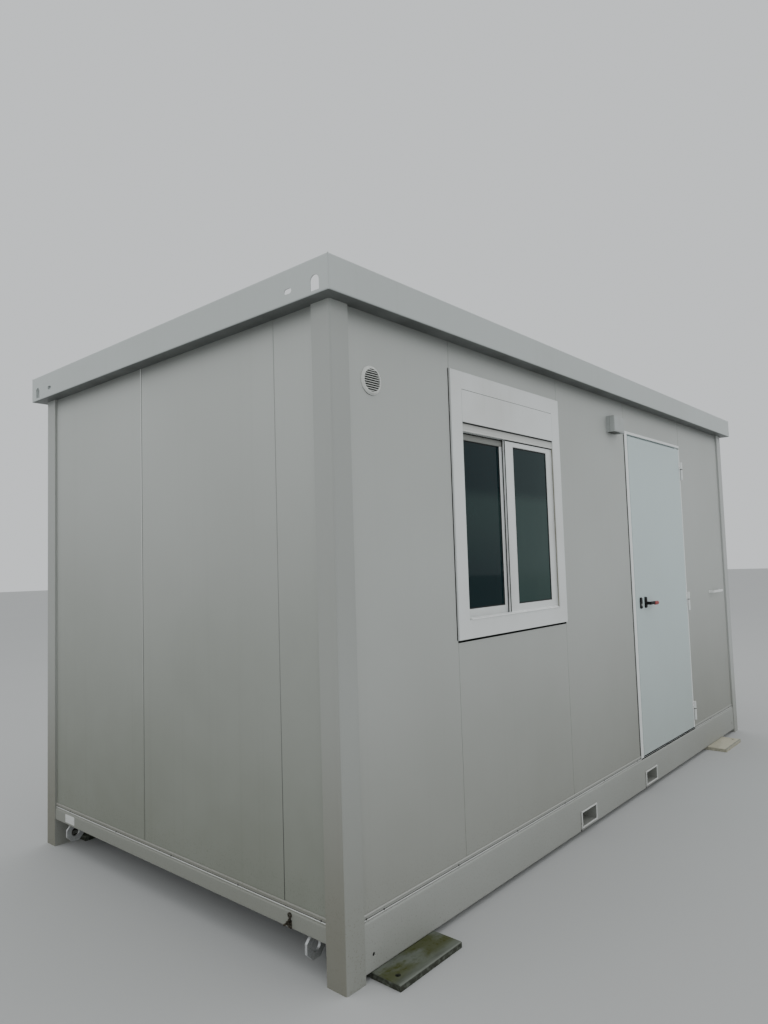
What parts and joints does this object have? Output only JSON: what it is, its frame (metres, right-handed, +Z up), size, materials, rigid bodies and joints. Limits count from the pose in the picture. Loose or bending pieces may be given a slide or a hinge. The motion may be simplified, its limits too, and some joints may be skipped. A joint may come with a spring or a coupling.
{
  "type": "portable site cabin",
  "caption": "Portable site cabin: a steel frame with gutter rails, sandwich walls, a shuttered sliding window and a hinged door with a turning lever.",
  "frame": {"origin": "middle of the footprint, on the ground under the post feet", "axes": "+X along the long side, to the right seen from the door side; +Y from the door side to the back; +Z up"},
  "size_m": [4.82, 2.567, 2.61],
  "materials": {
    "frame_paint": "satin light grey paint on folded steel",
    "wall_paint": "satin light grey coated steel sheet",
    "window_plastic": "white plastic profile",
    "pane": "clear double glazing",
    "door_paint": "satin cool white paint",
    "door_frame_paint": "white coated profile",
    "galvanised": "galvanised sheet",
    "floor_timber": "plywood board",
    "ceiling_board": "white coated sheet",
    "black_plastic": "black moulded plastic",
    "red_plastic": "red moulded plastic",
    "white_plastic": "light grey moulded plastic",
    "fixings": "painted steel hardware",
    "pad_board": "weathered board with lichen"
  },
  "bodies": {
    "cabin": {"corner_post_front_left": "frame_paint", "corner_post_front_right": "frame_paint", "corner_post_back_left": "frame_paint", "corner_post_back_right": "frame_paint", "roof_rail_front": "frame_paint", "roof_rail_back": "frame_paint", "roof_rail_left": "frame_paint", "roof_rail_right": "frame_paint", "roof_deck": "galvanised", "ceiling": "ceiling_board", "bottom_rail_front": "frame_paint", "bottom_rail_back": "frame_paint", "bottom_rail_left": "frame_paint", "bottom_rail_right": "frame_paint", "fork_pockets": "frame_paint", "floor_joists": "galvanised", "floor_board": "floor_timber", "floor_pan": "galvanised", "drip_flashing": "frame_paint", "front_panel_corner": "wall_paint", "front_panel_window": "wall_paint", "front_panel_middle": "wall_paint", "front_panel_over_door": "wall_paint", "front_panel_right": "wall_paint", "back_wall": "wall_paint", "left_wall": "wall_paint", "right_wall": "wall_paint", "vent_grille": "white_plastic", "window_frame": "window_plastic", "shutter_box": "window_plastic", "shutter_slats": "window_plastic", "window_sash_left": "window_plastic", "window_sash_right": "window_plastic", "window_glass": "pane", "door_frame": "door_frame_paint", "hinge_pins": "fixings", "door_stay": "fixings", "light_fitting": "white_plastic", "anchor_lugs": "fixings", "earth_terminal": "galvanised", "support_pads": "pad_board"},
    "door": {"door_leaf": "door_paint", "hinge_knuckles": "fixings", "lock_plates": "black_plastic"},
    "door_lever": {"lever": "black_plastic", "lever_cap": "red_plastic"}
  },
  "joints": [
    {"name": "door_hinge", "type": "hinge", "parent": "cabin", "child": "door", "pos_m": [1.334, -1.1575, 1.2], "axis": [0, 0, 1], "range_deg": [0, 170]},
    {"name": "lever_turn", "type": "hinge", "parent": "door", "child": "door_lever", "pos_m": [0.52, -1.1495, 1.171], "axis": [0, 1, 0], "range_deg": [0, 45], "stiffness_Nm_per_rad": 0.6}
  ]
}
